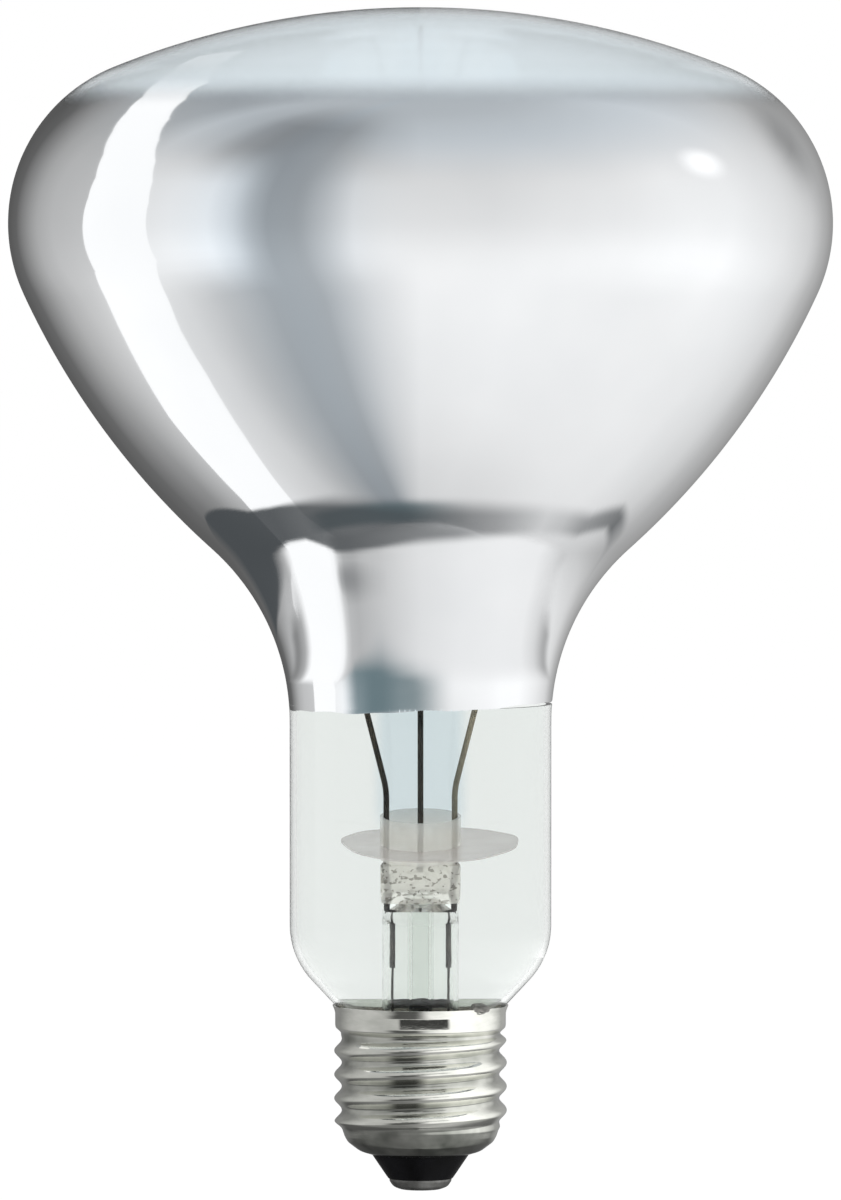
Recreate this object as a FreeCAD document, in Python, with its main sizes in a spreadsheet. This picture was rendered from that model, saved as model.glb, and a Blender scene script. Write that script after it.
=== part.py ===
import FreeCAD, Part
import math
import os
import re
import Sketcher
from FreeCAD import Placement, Rotation, Vector

# Infrared reflector lamp with a screw cap, standing on its centre contact.
# Millimetres and degrees. The axis of the lamp is Z, the cap is at the bottom,
# and the origin is the middle of the contact's flat tip.

SIZES = {
    # Blown glass envelope, outer side, from the face down to the cap
    "overall_height": 179.8,
    "bulb_radius": 62.6,
    "equator_share": 0.8176,
    "rim_radius": 25.6,
    "reflector_radius": 118.6,
    "throat_radius": 35.4,
    "throat_share": 0.396,
    "neck_radius": 19.9,
    "shoulder_height": 40.3,
    "shoulder_radius": 12.2,
    "cone_angle": 47,
    "seal_radius": 11.2,
    "seal_height": 17,
    "glass_wall": 0.9,
    # Mirror film on the inner side of the glass
    "mirror_top_rise": 18,
    "mirror_foot_rise": 2.8,
    "mirror_film": 0.15,
    # Screw shell
    "shell_wall": 0.3,
    "rim_lip_radius": 13.4,
    "rim_lip_top": 28.1,
    "skirt_radius": 13,
    "skirt_top": 27.2,
    "skirt_foot": 24.9,
    "thread_root": 12,
    "thread_crest": 13.15,
    "thread_pitch": 3.629,
    "thread_phase": 8.9,
    "thread_foot": 9.4,
    "thread_top": 23.9,
    "bell_shoulder": 11.6,
    "bell_top": 8.2,
    "bell_foot": 5.35,
    "bell_mouth": 7.45,
    "bell_curve": 6.5,
    "rim_notch": 1.6,
    "solder_azimuth": -46,
    "solder_rise": 0.7,
    "solder_bulge": 1.3,
    # Glass insulator and contact at the tip
    "insulator_foot": 1.6,
    "insulator_tip": 4.9,
    "insulator_top": 9,
    "insulator_dish": 1.4,
    "contact_radius": 4.75,
    "contact_flat": 3,
    "contact_curve": 2.4,
    "contact_wall": 0.3,
    "solder_radius": 0.9,
    "solder_height": 1.2,
    # Glass stem
    "stem_radius": 5.8,
    "stem_wall": 0.8,
    "press_foot": 42.5,
    "press_waist": 44.6,
    "press_shoulder": 46.6,
    "press_top": 50,
    "press_width": 12.2,
    "press_thickness": 4.4,
    "exhaust_radius": 2,
    "exhaust_wall": 0.7,
    "exhaust_tip": 13.5,
    "exhaust_seat": 44.6,
    "exhaust_hole_width": 4.2,
    "exhaust_hole_height": 2,
    # Wires
    "lead_thickness": 0.9,
    "lead_spread": 5.2,
    "lead_knee_rise": 4,
    "lead_reach": 14,
    "lead_bend": 8,
    "press_wire_thickness": 0.8,
    "press_wire_spread": 4.3,
    "outer_lead_thickness": 0.4,
    "outer_lead_bend": 1,
    "contact_lead_knee": 13.6,
    "contact_lead_drop": 10,
    "shell_lead_knee": 15.3,
    "joint_sleeve_thickness": 0.9,
    "joint_sleeve_foot": 33.7,
    "joint_sleeve_top": 41.3,
    "support_thickness": 0.9,
    "support_root": 48.4,
    # Heat shield of mica
    "shield_radius": 13.5,
    "shield_thickness": 0.35,
    "shield_height": 52.6,
    "shield_tilt": 8,
    "shield_offset": 1.5,
    "collar_radius": 6.15,
    "collar_wall": 0.4,
    "collar_height": 6.6,
    "collar_lift": 4.4,
    "slip_clearance": 0.05,
    # Filament and what carries it
    "filament_rise": 26.8,
    "filament_ring": 18,
    "coil_radius": 0.8,
    "clamp_wall": 0.3,
    "clamp_length": 2.6,
    "hook_thickness": 0.4,
    "hook_depth": 1.2,
    "button_radius": 2.4,
    "button_height": 5.6,
    "button_corner": 1.1,
}
HOOKS = 5

doc = FreeCAD.newDocument("HeatLamp")
sheet = doc.addObject("Spreadsheet::Sheet", "Sizes")
for row, (alias, number) in enumerate(SIZES.items(), 1):
    sheet.set(f"A{row}", alias)
    sheet.set(f"B{row}", str(number))
    sheet.setAlias(f"B{row}", alias)
doc.recompute()

parts = []


def size(expression):
    """Number that an expression in the sheet's names gives."""
    return float(sheet.evalExpression(str(expression)))


def tied(expression):
    """The same expression as another object writes it, with the sheet named."""
    return re.sub(r"[a-z_]+", lambda word: "Sizes." + word[0] if word[0] in SIZES else word[0],
                  str(expression))


def bind(thing, **properties):
    """Tie properties of an object to expressions in the sheet's names."""
    for name, expression in properties.items():
        thing.setExpression(name.replace("__", "."), tied(expression))
    return thing


def body(label):
    made = doc.addObject("PartDesign::Body", label)
    made.Label = label
    return made


def part(made):
    """Note an object as one of the lamp's pieces, which gets a file of its own."""
    parts.append(made)
    return made


def sketch_on(owner, role, name, lift="0"):
    plane = next(item for item in owner.Origin.OriginFeatures if item.Role == role)
    sketch = owner.newObject("Sketcher::SketchObject", owner.Name + "_" + name)
    sketch.AttachmentSupport = [(plane, "")]
    sketch.MapMode = "FlatFace"
    sketch.setExpression("AttachmentOffset.Base.z", tied(lift))
    return sketch


def hold(sketch, kind, *where, value=None):
    """Add a constraint, tied to an expression where it has a value."""
    if value is None:
        return sketch.addConstraint(Sketcher.Constraint(kind, *where))
    index = sketch.addConstraint(Sketcher.Constraint(kind, *where, size(value)))
    sketch.setExpression(f"Constraints[{index}]", tied(value))
    return index


def pin(sketch, line, end, across, up):
    """Fix one end of a line, or the centre of an arc, by its distance from the origin."""
    hold(sketch, "DistanceX", -1, 1, line, end, value=across)
    hold(sketch, "DistanceY", -1, 1, line, end, value=up)


def arc_through(centre, radius, first, last):
    """Arc from first to last, turning left about the centre."""
    circle = Part.Circle(centre, Vector(0, 0, 1), radius)
    return Part.ArcOfCircle(circle, circle.parameter(first), circle.parameter(last))


def profile(sketch, corners):
    """Closed outline through corners (across, up), with an arc on to the next one
    where a third value gives its radius, positive when the arc turns left."""
    spots = [Vector(size(corner[0]), size(corner[1]), 0) for corner in corners]
    ends = []
    for index, corner in enumerate(corners):
        here = spots[index]
        there = spots[(index + 1) % len(spots)]
        if len(corner) == 2:
            line = sketch.addGeometry(Part.LineSegment(here, there))
            ends.append((line, 1, 2))
            continue
        radius, turn = corner[2:]
        chord = there - here
        rise = math.sqrt(size(radius) ** 2 - chord.Length ** 2 / 4)
        left = Vector(-chord.y, chord.x, 0).normalize()
        centre = (here + there) / 2 + left * rise * turn
        if turn > 0:
            line = sketch.addGeometry(arc_through(centre, size(radius), here, there))
            ends.append((line, 1, 2))
        else:
            line = sketch.addGeometry(arc_through(centre, size(radius), there, here))
            ends.append((line, 2, 1))
        hold(sketch, "Radius", line, value=radius)
    for index, (line, start, end) in enumerate(ends):
        after, after_start, _ = ends[(index + 1) % len(ends)]
        hold(sketch, "Coincident", line, end, after, after_start)
        pin(sketch, line, start, corners[index][0], corners[index][1])
    return sketch


def turned(owner, sketch, kind="Revolution", angle="360"):
    """Revolve a sketch about the lamp's axis: a Revolution adds, a Groove cuts."""
    made = owner.newObject("PartDesign::" + kind, sketch.Name + "_turned")
    made.Profile = sketch
    made.ReferenceAxis = (sketch, ["V_Axis"])
    made.setExpression("Angle", tied(angle))
    return made


def revolved_part(label, corners, angle="360"):
    made = body(label)
    turned(made, profile(sketch_on(made, "XZ_Plane", "section"), corners), angle=angle)
    return made


# The glass envelope and what follows its wall

EQUATOR = "(equator_share * overall_height)"
THROAT = "(throat_share * overall_height)"
MIRROR_TOP = f"({EQUATOR} + mirror_top_rise)"
MIRROR_FOOT = f"({THROAT} + mirror_foot_rise)"


def touch(first, second, first_radius, second_radius):
    """Point where two circles touch: outside each other, or the second round the first."""
    apart = second - first
    if apart.Length > max(first_radius, second_radius):
        return first + apart * (first_radius / apart.Length)
    return first - apart * (first_radius / apart.Length)


def envelope_side(sketch, inset, foot, top=None):
    """Half section of the bulb, moved inwards by inset, closed along the axis.
    It runs from foot, at the seal or on the throat, up to the crown, or to a cut at top."""
    def at(across, up):
        return Vector(size(across), size(up), 0)

    throat = at("neck_radius + throat_radius", THROAT)
    rim = at("bulb_radius - rim_radius", EQUATOR)
    throat_r = size(f"throat_radius + {inset}")
    mirror_r = size(f"reflector_radius - {inset}")
    rim_r = size(f"rim_radius - {inset}")
    # The reflector arc touches the throat arc and the rim arc.
    reach_low = throat_r + mirror_r
    reach_high = mirror_r - rim_r
    apart = rim - throat
    along = (reach_low ** 2 - reach_high ** 2 + apart.Length ** 2) / (2 * apart.Length)
    aside = math.sqrt(reach_low ** 2 - along ** 2)
    unit = Vector(apart).normalize()
    reflector = throat + unit * along + Vector(-unit.y, unit.x, 0) * aside
    low_touch = touch(throat, reflector, throat_r, mirror_r)
    high_touch = touch(rim, reflector, rim_r, mirror_r)
    neck_x = size(f"neck_radius - {inset}")
    neck_top = Vector(neck_x, throat.y, 0)

    from_seal = size(foot) < size("shoulder_height")
    if from_seal:
        shoulder = at("neck_radius - shoulder_radius", "shoulder_height")
        shoulder_r = size(f"shoulder_radius - {inset}")
        start = f"shoulder_height - (shoulder_radius - {inset}) * cos(cone_angle)"
        slope = math.radians(size("cone_angle"))
        shoulder_low = shoulder + Vector(math.sin(slope), -math.cos(slope), 0) * shoulder_r
        seal_x = size(f"seal_radius - {inset}")
        cone_foot = Vector(seal_x, shoulder_low.y - (shoulder_low.x - seal_x) * math.tan(slope), 0)
        low = Vector(seal_x, size(foot), 0)
        neck_low = Vector(neck_x, shoulder.y, 0)
        seal_line = sketch.addGeometry(Part.LineSegment(low, cone_foot))
        cone_line = sketch.addGeometry(Part.LineSegment(cone_foot, shoulder_low))
        shoulder_arc = sketch.addGeometry(arc_through(shoulder, shoulder_r, shoulder_low, neck_low))
        neck_line = sketch.addGeometry(Part.LineSegment(neck_low, neck_top))
        hold(sketch, "Vertical", seal_line)
        hold(sketch, "Coincident", seal_line, 2, cone_line, 1)
        pin(sketch, shoulder_arc, 3, "neck_radius - shoulder_radius", "shoulder_height")
        hold(sketch, "Radius", shoulder_arc, value=f"shoulder_radius - {inset}")
        hold(sketch, "DistanceY", -1, 1, shoulder_arc, 1, value=start)
        hold(sketch, "Tangent", cone_line, 2, shoulder_arc, 1)
        hold(sketch, "Tangent", shoulder_arc, 2, neck_line, 1)
    else:
        sink = math.sqrt(throat_r ** 2 - (size(foot) - throat.y) ** 2)
        low = Vector(throat.x - sink, size(foot), 0)
        neck_top = low
    throat_arc = sketch.addGeometry(arc_through(throat, throat_r, low_touch, neck_top))
    reflector_arc = sketch.addGeometry(arc_through(reflector, mirror_r, low_touch, high_touch))
    pin(sketch, throat_arc, 3, "neck_radius + throat_radius", THROAT)
    hold(sketch, "Radius", throat_arc, value=f"throat_radius + {inset}")
    hold(sketch, "Radius", reflector_arc, value=f"reflector_radius - {inset}")
    if from_seal:
        hold(sketch, "Tangent", neck_line, 2, throat_arc, 2)
    hold(sketch, "Tangent", throat_arc, 1, reflector_arc, 1)

    if top is None:
        drop = size(f"overall_height - {inset}")
        climb = drop - rim.y
        crown_r = (rim.x ** 2 + climb ** 2 - rim_r ** 2) / (2 * (climb - rim_r))
        crown = Vector(0, drop - crown_r, 0)
        crown_touch = touch(rim, crown, rim_r, crown_r)
        summit = Vector(0, drop, 0)
        rim_arc = sketch.addGeometry(arc_through(rim, rim_r, high_touch, crown_touch))
        last = sketch.addGeometry(arc_through(crown, crown_r, crown_touch, summit))
        hold(sketch, "Tangent", rim_arc, 2, last, 1)
        hold(sketch, "DistanceX", -1, 1, last, 3, value="0")
        pin(sketch, last, 2, "0", f"overall_height - {inset}")
    else:
        swing = math.sqrt(rim_r ** 2 - (size(top) - rim.y) ** 2)
        edge = Vector(rim.x + swing, size(top), 0)
        summit = Vector(0, size(top), 0)
        rim_arc = sketch.addGeometry(arc_through(rim, rim_r, high_touch, edge))
        last = sketch.addGeometry(Part.LineSegment(edge, summit))
        hold(sketch, "Coincident", rim_arc, 2, last, 1)
        hold(sketch, "DistanceY", -1, 1, rim_arc, 2, value=top)
        pin(sketch, last, 2, "0", top)
    pin(sketch, rim_arc, 3, "bulb_radius - rim_radius", EQUATOR)
    hold(sketch, "Radius", rim_arc, value=f"rim_radius - {inset}")
    hold(sketch, "Tangent", reflector_arc, 2, rim_arc, 1)

    axis_low = Vector(0, size(foot), 0)
    axis_line = sketch.addGeometry(Part.LineSegment(summit, axis_low))
    foot_line = sketch.addGeometry(Part.LineSegment(axis_low, low))
    hold(sketch, "Coincident", last, 2, axis_line, 1)
    hold(sketch, "Coincident", axis_line, 2, foot_line, 1)
    pin(sketch, foot_line, 1, "0", foot)
    if from_seal:
        hold(sketch, "Coincident", foot_line, 2, seal_line, 1)
        pin(sketch, seal_line, 1, f"seal_radius - {inset}", foot)
    else:
        hold(sketch, "Coincident", foot_line, 2, throat_arc, 2)
        hold(sketch, "DistanceY", -1, 1, foot_line, 2, value=foot)
    return sketch


def make_envelope():
    glass = part(body("glass_envelope"))
    turned(glass, envelope_side(sketch_on(glass, "XZ_Plane", "outside"), "0", "seal_height"))
    inside = sketch_on(glass, "XZ_Plane", "inside")
    turned(glass, envelope_side(inside, "glass_wall", "seal_height - glass_wall"), "Groove")


def make_mirror():
    film = part(body("mirror_coating"))
    against = sketch_on(film, "XZ_Plane", "against_glass")
    turned(film, envelope_side(against, "glass_wall", MIRROR_FOOT, MIRROR_TOP))
    face = sketch_on(film, "XZ_Plane", "bright_face")
    turned(film, envelope_side(face, "(glass_wall + mirror_film)", MIRROR_FOOT, MIRROR_TOP),
           "Groove")


# The cap

RIM_SEAT = "skirt_top - rim_notch / 4"
THREAD_START = "(thread_phase - thread_pitch)"
ROOT_BITE = "shell_wall / 6"
THREAD_DEPTH = f"(thread_crest - thread_root + {ROOT_BITE})"
WAVE_RADIUS = f"((thread_pitch ^ 2 / 4 + {THREAD_DEPTH} ^ 2) / (4 * {THREAD_DEPTH}))"


def thread_wave(sketch, inset):
    """One ridge of the rounded thread in section: a crest arc between two root arcs of
    one radius, which touch each other, moved inwards by inset."""
    lean = f"({WAVE_RADIUS} - {inset}) / (2 * {WAVE_RADIUS})"
    flank = f"thread_crest - {WAVE_RADIUS} + {lean} * (2 * {WAVE_RADIUS} - {THREAD_DEPTH})"
    rise = f"{lean} * thread_pitch / 2"
    root = f"({WAVE_RADIUS} + {inset})"
    half = f"(thread_pitch / 2 - sqrt({root} ^ 2 - ({root} - {ROOT_BITE}) ^ 2))"
    crest = f"{WAVE_RADIUS} - {inset}"
    base = f"thread_root - {inset}"
    back = f"thread_root - {inset} - shell_wall / 2"
    return profile(sketch, [
        (base, f"{THREAD_START} - {half}", root, -1),
        (flank, f"{THREAD_START} - {rise}", crest, 1),
        (flank, f"{THREAD_START} + {rise}", root, -1),
        (base, f"{THREAD_START} + {half}"),
        (back, f"{THREAD_START} + {half}"),
        (back, f"{THREAD_START} - {half}"),
    ])


def cap_form(label, inset, bell, skirt):
    """The cap as a full solid, moved inwards by inset. The ridge runs out past both ends
    of its core and is cut off level there, and the bell and the skirt follow on."""
    made = body(label)
    root, reach = f"thread_root - {inset}", "thread_crest + thread_pitch"
    foot, top = f"thread_foot + {inset}", f"thread_top - {inset}"
    under, over = f"{THREAD_START} - thread_pitch", "thread_top + 2 * thread_pitch"

    def drum(name, width, low, high):
        return profile(sketch_on(made, "XZ_Plane", name),
                       [("0", low), (width, low), (width, high), ("0", high)])

    turned(made, drum("core", root, "bell_top", "skirt_foot"))
    wave = thread_wave(sketch_on(made, "XZ_Plane", "wave"), inset)
    ridge = made.newObject("PartDesign::AdditiveHelix", label + "_ridge")
    ridge.Profile = wave
    ridge.ReferenceAxis = (wave, ["V_Axis"])
    ridge.Mode = "pitch-turns-angle"
    ridge.setExpression("Pitch", tied("thread_pitch"))
    ridge.setExpression("Turns", tied(f"(thread_top - {THREAD_START}) / thread_pitch + 0.6"))
    turned(made, drum("above", reach, top, over), "Groove")
    turned(made, drum("below", reach, under, foot), "Groove")
    turned(made, profile(sketch_on(made, "XZ_Plane", "bell"),
                         [*bell, (root, foot), ("0", foot)]))
    turned(made, profile(sketch_on(made, "XZ_Plane", "skirt"),
                         [("0", top), (root, top), *skirt]))
    return bind(made, Placement__Rotation__Angle="solder_azimuth + 90")


def make_shell():
    """Thin screw shell: the outer form of the cap less its inner form and the notch that
    lets the lead out over the rim."""
    outside = cap_form("cap_outside", "0", [
        ("0", "bell_foot"),
        ("bell_mouth", "bell_foot", "bell_curve", 1),
        ("bell_shoulder", "bell_top"),
        ("thread_root - shell_wall / 2", "thread_foot - shell_wall / 2"),
    ], [
        ("skirt_radius", "skirt_foot"),
        ("skirt_radius", "skirt_top"),
        ("rim_lip_radius", "rim_lip_top"),
        ("0", "rim_lip_top"),
    ])
    inside = cap_form("cap_inside", "shell_wall", [
        ("0", "bell_foot - bell_mouth"),
        ("bell_mouth", "bell_foot - bell_mouth"),
        ("bell_mouth", "bell_foot + shell_wall", "bell_curve - shell_wall", 1),
        ("bell_shoulder - shell_wall", "bell_top + shell_wall / 2"),
    ], [
        ("thread_root - shell_wall", "thread_top"),
        ("skirt_radius - shell_wall", "skirt_foot"),
        ("skirt_radius - shell_wall", "skirt_top"),
        ("rim_lip_radius - shell_wall", "rim_lip_top"),
        ("rim_lip_radius - shell_wall", "rim_lip_top + rim_notch"),
        ("0", "rim_lip_top + rim_notch"),
    ])
    notch = shape("Box", "rim_notch_tool", Length="rim_lip_radius + rim_notch",
                  Width="rim_notch", Height=f"rim_lip_top + rim_notch - ({RIM_SEAT})")
    bind(notch, Placement__Rotation__Angle="solder_azimuth", Placement__Base__z=RIM_SEAT,
         Placement__Base__x="rim_notch / 2 * sin(solder_azimuth)",
         Placement__Base__y="0 - rim_notch / 2 * cos(solder_azimuth)")
    cut_each("screw_shell", outside, [inside, notch])


def cut_forward(owner, sketch, reach):
    pocket = owner.newObject("PartDesign::Pocket", sketch.Name + "_cut")
    pocket.Profile = sketch
    pocket.Reversed = True
    pocket.setExpression("Length", tied(reach))


CONE_RADIUS = "(neck_radius - shoulder_radius + shoulder_radius * sin(cone_angle))"
CONE_TOP = "(shoulder_height - shoulder_radius * cos(cone_angle))"


def cone_height(radius):
    """Height at which the glass cone above the cap has a radius."""
    return f"({CONE_TOP} - ({CONE_RADIUS} - ({radius})) * tan(cone_angle))"


def cone_radius(height):
    return f"({CONE_RADIUS} - ({CONE_TOP} - ({height})) / tan(cone_angle))"


def make_cement():
    """Cement between the glass neck and the shell, with a slot for the lead."""
    made = part(body("cap_cement"))
    turned(made, profile(sketch_on(made, "XZ_Plane", "section"), [
        ("seal_radius", "seal_height"),
        ("thread_root - shell_wall", "seal_height"),
        ("thread_root - shell_wall", "thread_top"),
        ("skirt_radius - shell_wall", "skirt_foot"),
        ("skirt_radius - shell_wall", RIM_SEAT),
        (cone_radius(RIM_SEAT), RIM_SEAT),
        ("seal_radius", cone_height("seal_radius")),
    ]))
    slot = profile(sketch_on(made, "XZ_Plane", "lead_slot"), [
        ("0 - rim_notch / 2", "seal_height - stem_wall"),
        ("rim_notch / 2", "seal_height - stem_wall"),
        ("rim_notch / 2", "skirt_top"),
        ("0 - rim_notch / 2", "skirt_top"),
    ])
    cut_forward(made, slot, "skirt_radius")
    bind(made, Placement__Rotation__Angle="solder_azimuth + 90")


def make_tip():
    """Insulator, contact and solder, one inside the other."""
    part(revolved_part("cap_insulator", [
        ("solder_radius", "contact_wall"),
        ("contact_flat", "contact_wall", "contact_curve - contact_wall", 1),
        ("contact_radius - contact_wall", "insulator_foot"),
        ("insulator_tip", "insulator_foot"),
        ("bell_mouth", "bell_foot"),
        ("bell_mouth", "bell_foot + shell_wall", "bell_curve - shell_wall", 1),
        ("bell_shoulder - shell_wall", "bell_top + shell_wall / 2"),
        ("bell_shoulder - shell_wall", "insulator_top"),
        ("solder_radius", "insulator_top - insulator_dish"),
    ]))
    part(revolved_part("centre_contact", [
        ("solder_radius", "0"),
        ("contact_flat", "0", "contact_curve", 1),
        ("contact_radius", "insulator_foot"),
        ("contact_radius - contact_wall", "insulator_foot", "contact_curve - contact_wall", -1),
        ("contact_flat", "contact_wall"),
        ("solder_radius", "contact_wall"),
    ]))
    part(revolved_part("centre_solder", [
        ("0", "0"),
        ("solder_radius", "0"),
        ("solder_radius", "solder_height"),
        ("0", "solder_height"),
    ]))


def make_side_solder():
    """Solder in the notch of the rim, up against the glass cone."""
    width = "rim_notch / rim_lip_radius * 180 / pi"
    top = "(rim_lip_top + solder_rise)"
    made = part(revolved_part("side_solder", [
        ("skirt_radius - shell_wall", RIM_SEAT),
        ("skirt_radius", RIM_SEAT, "solder_bulge", 1),
        (cone_radius(top), top),
        ("skirt_radius - shell_wall", cone_height("skirt_radius - shell_wall")),
    ], width))
    bind(made, Placement__Rotation__Angle=f"solder_azimuth - {width} / 2")


# Wires

def bent_path(sketch, points, bend):
    """Straight runs through points (across, up), with a tangent arc at each corner."""
    spots = [Vector(size(across), size(up), 0) for across, up in points]
    radius = size(bend)
    starts, ends, arcs = [spots[0]], [], []
    for before, corner, after in zip(spots, spots[1:], spots[2:]):
        inward = (corner - before).normalize()
        outward = (after - corner).normalize()
        turn = math.copysign(1, inward.cross(outward).z)
        setback = radius * math.tan(inward.getAngle(outward) / 2)
        leave = corner - inward * setback
        join = corner + outward * setback
        centre = leave + Vector(-inward.y, inward.x, 0) * (radius * turn)
        ends.append(leave)
        starts.append(join)
        arcs.append((turn, centre, leave, join))
    ends.append(spots[-1])
    runs = [sketch.addGeometry(Part.LineSegment(a, b)) for a, b in zip(starts, ends)]
    pin(sketch, runs[0], 1, *points[0])
    pin(sketch, runs[-1], 2, *points[-1])
    for index, (turn, centre, leave, join) in enumerate(arcs):
        corner = sketch.addGeometry(Part.Point(spots[index + 1]), True)
        pin(sketch, corner, 1, *points[index + 1])
        hold(sketch, "PointOnObject", corner, 1, runs[index])
        hold(sketch, "PointOnObject", corner, 1, runs[index + 1])
        if turn > 0:
            arc = sketch.addGeometry(arc_through(centre, radius, leave, join))
            first, last = 1, 2
        else:
            arc = sketch.addGeometry(arc_through(centre, radius, join, leave))
            first, last = 2, 1
        hold(sketch, "Tangent", runs[index], 2, arc, first)
        hold(sketch, "Tangent", arc, last, runs[index + 1], 1)
        hold(sketch, "Radius", arc, value=bend)
    return sketch


def ring(sketch, across, up, *radii):
    """Circles of several radii about one centre."""
    for radius in radii:
        circle = sketch.addGeometry(
            Part.Circle(Vector(size(across), size(up), 0), Vector(0, 0, 1), size(radius)))
        pin(sketch, circle, 3, across, up)
        hold(sketch, "Radius", circle, value=radius)
    return sketch


def swept(owner, section, path):
    pipe = owner.newObject("PartDesign::AdditivePipe", path.Name + "_pipe")
    pipe.Profile = section
    pipe.Spine = (path, [])
    return pipe


def wire(label, thickness, bend, points):
    """Round wire whose path lies in the body's own XZ plane and leaves its start upright."""
    made = part(body(label))
    path = bent_path(sketch_on(made, "XZ_Plane", "path"), points, bend)
    across, up = points[0]
    section = ring(sketch_on(made, "XY_Plane", "section", up), across, "0", f"{thickness} / 2")
    swept(made, section, path)
    return made


FILAMENT_HEIGHT = f"({THROAT} + filament_rise)"
LEAD_KNEE = "(shield_height + collar_lift + lead_knee_rise)"
FORWARD = "sqrt(filament_ring ^ 2 - lead_reach ^ 2)"
LEAN = f"atan2(0 - {FORWARD}; lead_reach - lead_spread)"
LEAD_RUN = f"sqrt((lead_reach - lead_spread) ^ 2 + filament_ring ^ 2 - lead_reach ^ 2)"
CLAMP_RADIUS = "(coil_radius + slip_clearance + clamp_wall)"
LEAD_AZIMUTH = "(asin(lead_reach / filament_ring) - 90 deg)"
CLAMP_ANGLE = "(clamp_length / filament_ring * 1 rad)"


def make_inner_lead(side, sign):
    """Lead from the press up to the clamp at its end of the filament."""
    made = wire("inner_lead_" + side, "lead_thickness", "lead_bend", [
        ("0", "press_top"),
        ("0", LEAD_KNEE),
        (LEAD_RUN, f"{FILAMENT_HEIGHT} - {CLAMP_RADIUS} - lead_thickness / 5"),
    ])
    bind(made, Placement__Base__x=f"{sign} * lead_spread",
         Placement__Rotation__Angle=f"90 deg - {sign} * (90 deg - {LEAN})")


def make_press_wire(side, sign):
    made = wire("press_wire_" + side, "press_wire_thickness", "lead_bend", [
        (f"{sign} * press_wire_spread", "press_foot"),
        (f"{sign} * lead_spread", "press_top"),
    ])
    return made


def add_joint_sleeve(made, across):
    """Thicker stretch of an outer lead, where its strands are twisted and welded."""
    section = ring(sketch_on(made, "XY_Plane", "sleeve", "joint_sleeve_foot"),
                   across, "0", "joint_sleeve_thickness / 2")
    pad = made.newObject("PartDesign::Pad", made.Name + "_sleeve_pad")
    pad.Profile = section
    pad.setExpression("Length", tied("joint_sleeve_top - joint_sleeve_foot"))


def make_outer_leads():
    """The left lead goes down to the centre contact, the right one out to the rim."""
    contact_lead = wire("outer_lead_left", "outer_lead_thickness", "outer_lead_bend", [
        ("press_wire_spread", "press_foot"),
        ("press_wire_spread", "contact_lead_knee"),
        ("0", "contact_lead_drop"),
        ("0", "solder_height"),
    ])
    add_joint_sleeve(contact_lead, "press_wire_spread")
    bind(contact_lead, Placement__Rotation__Angle="180")

    heading = ("atan2(skirt_radius * sin(solder_azimuth);"
               " skirt_radius * cos(solder_azimuth) - press_wire_spread)")
    near = f"(press_wire_spread * cos({heading}))"

    def run_to(radius):
        """Distance along the lead's plane at which it is a radius from the lamp's axis."""
        return f"(sqrt(({radius}) ^ 2 - press_wire_spread ^ 2 + {near} ^ 2) - {near})"

    channel = run_to("(thread_root - shell_wall + seal_radius) / 2")
    shell_lead = wire("outer_lead_right", "outer_lead_thickness", "outer_lead_bend", [
        ("0", "press_foot"),
        ("0", "shell_lead_knee"),
        (channel, "shell_lead_knee"),
        (channel, "skirt_foot"),
        (run_to("skirt_radius - shell_wall - outer_lead_thickness / 2"), RIM_SEAT),
    ])
    add_joint_sleeve(shell_lead, "0")
    bind(shell_lead, Placement__Base__x="press_wire_spread", Placement__Rotation__Angle=heading)


# Stem

def shape(kind, name, **bindings):
    return bind(doc.addObject("Part::" + kind, name), **bindings)


def joined(name, *shapes):
    made = doc.addObject("Part::MultiFuse", name)
    made.Shapes = list(shapes)
    return made


def cut_each(label, base, tools):
    """Cut tools from a base one after another. The last cut is the finished piece."""
    for tool in tools:
        made = doc.addObject("Part::Cut", f"{label}_without_{tool.Name}")
        made.Base = base
        made.Tool = tool
        base = made
    base.Label = label
    return part(base)


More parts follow.
